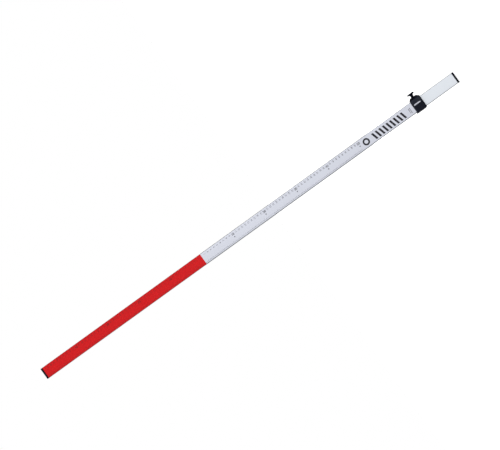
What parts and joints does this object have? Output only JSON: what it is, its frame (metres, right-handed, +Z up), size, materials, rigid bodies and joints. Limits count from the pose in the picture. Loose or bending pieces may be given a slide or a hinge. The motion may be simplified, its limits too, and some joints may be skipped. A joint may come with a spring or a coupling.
{
  "type": "leveling rod",
  "caption": "Two-section sliding leveling rod with a printed red and silver centimetre scale and a side thumb-screw clamp, slid together.",
  "frame": {"origin": "middle of the foot tube's section at the underside of the foot", "axes": "+Z up along the rod towards the red end, -Y out of the scale face, +X towards the thumb screw"},
  "size_m": [0.0548, 0.0346, 1.3168],
  "materials": {
    "aluminium": "satin anodised, printed scale, upper half coated red",
    "black_plastic": "fine moulded grain",
    "pale_plastic": "moulded, low friction",
    "steel": "zinc plated",
    "brass": "turned"
  },
  "bodies": {
    "foot_section": {"foot_profile": "aluminium", "foot_plug": "black_plastic", "foot_plug_screw_left": "steel", "foot_plug_screw_right": "steel", "guide_shoe": "pale_plastic", "guide_shoe_screw_left": "steel", "guide_shoe_screw_right": "steel", "guide_shoe_spring": "steel"},
    "scale_section": {"scale_profile": "aluminium", "top_cap": "black_plastic", "top_cap_screw_left": "steel", "top_cap_screw_right": "steel", "clamp_body": "black_plastic", "clamp_screw_lower": "steel", "clamp_screw_upper": "steel", "end_stop": "pale_plastic", "threaded_insert": "brass"},
    "clamp_pad": {"pressure_pad": "pale_plastic"},
    "thumb_screw": {"thumb_screw_stud": "steel", "thumb_screw_knob": "black_plastic"}
  },
  "joints": [
    {"name": "rod_extension", "type": "slide", "parent": "foot_section", "child": "scale_section", "axis": [0, 0, 1], "range_m": [0, 1.082]},
    {"name": "pad_travel", "type": "slide", "parent": "scale_section", "child": "clamp_pad", "axis": [1, 0, 0], "range_m": [0, 0.0015]},
    {"name": "thumb_screw_turn", "type": "hinge", "parent": "clamp_pad", "child": "thumb_screw", "pos_m": [0, 0, 0.1218], "axis": [1, 0, 0], "range_deg": [0, 540]}
  ],
  "couplings": [
    {"joint": "thumb_screw_turn", "follows": "pad_travel", "rad_per_m": 6283}
  ]
}
